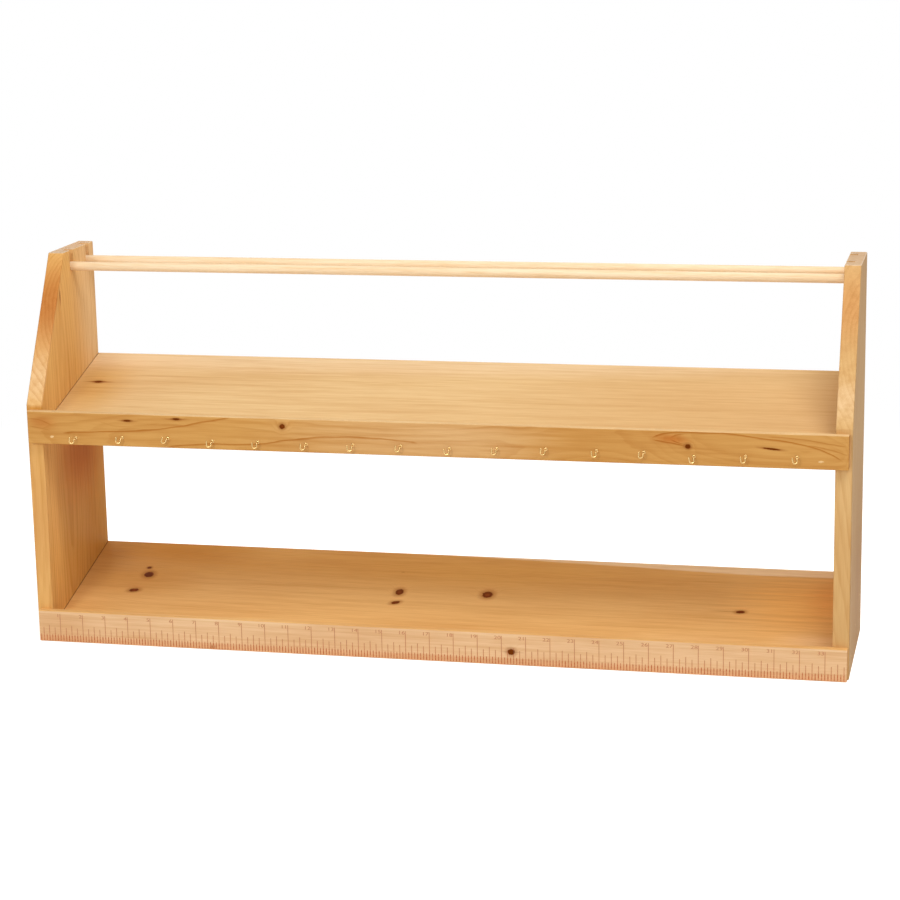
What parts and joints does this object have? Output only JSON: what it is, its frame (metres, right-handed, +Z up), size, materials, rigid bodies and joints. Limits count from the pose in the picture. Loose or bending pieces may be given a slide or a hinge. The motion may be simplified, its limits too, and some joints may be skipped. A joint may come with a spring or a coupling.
{
  "type": "benchtop organizer",
  "caption": "Wooden benchtop organizer: sloped side panels, tilted shelves with front lips, a row of brass cup hooks, a ruler along the base and lift-out rods across the top.",
  "frame": {"origin": "on the bench, under the middle of the whole object, hooks included", "axes": "+X to the right along the shelves as seen from the front, +Y to the back, +Z up"},
  "size_m": [0.864, 0.1888, 0.407],
  "materials": {
    "side_board": "clear satin lacquer on planed pine",
    "shelf_board": "clear satin lacquer on planed pine",
    "rail_board": "clear satin lacquer on planed pine",
    "ruler_board": "pale planed wood with printed divisions",
    "dowel": "sanded birch dowel",
    "hook_brass": "bright brass-plated wire",
    "nail_steel": "bright wire nail",
    "wood_filler": "dry wood filler, sanded flush"
  },
  "bodies": {
    "carcass": {"side_panel_left": "side_board", "side_panel_right": "side_board", "shelf_lower": "shelf_board", "shelf_upper": "shelf_board", "hook_rail": "rail_board", "ruler_strip": "ruler_board", "side_nails_left": "nail_steel", "side_nails_right": "nail_steel", "side_filler_left": "wood_filler", "side_filler_right": "wood_filler", "rail_nails": "nail_steel", "rail_filler": "wood_filler", "hook_01": "hook_brass", "hook_02": "hook_brass", "hook_03": "hook_brass", "hook_04": "hook_brass", "hook_05": "hook_brass", "hook_06": "hook_brass", "hook_07": "hook_brass", "hook_08": "hook_brass", "hook_09": "hook_brass", "hook_10": "hook_brass", "hook_11": "hook_brass", "hook_12": "hook_brass", "hook_13": "hook_brass", "hook_14": "hook_brass", "hook_15": "hook_brass", "hook_16": "hook_brass"},
    "front_rod": {"rod_front": "dowel"},
    "rear_rod": {"rod_rear": "dowel"}
  },
  "joints": [
    {"name": "front_rod_lift", "type": "slide", "parent": "carcass", "child": "front_rod", "axis": [0, 0, 1], "range_m": [0, 0.03]},
    {"name": "rear_rod_lift", "type": "slide", "parent": "carcass", "child": "rear_rod", "axis": [0, 0, 1], "range_m": [0, 0.03]}
  ]
}
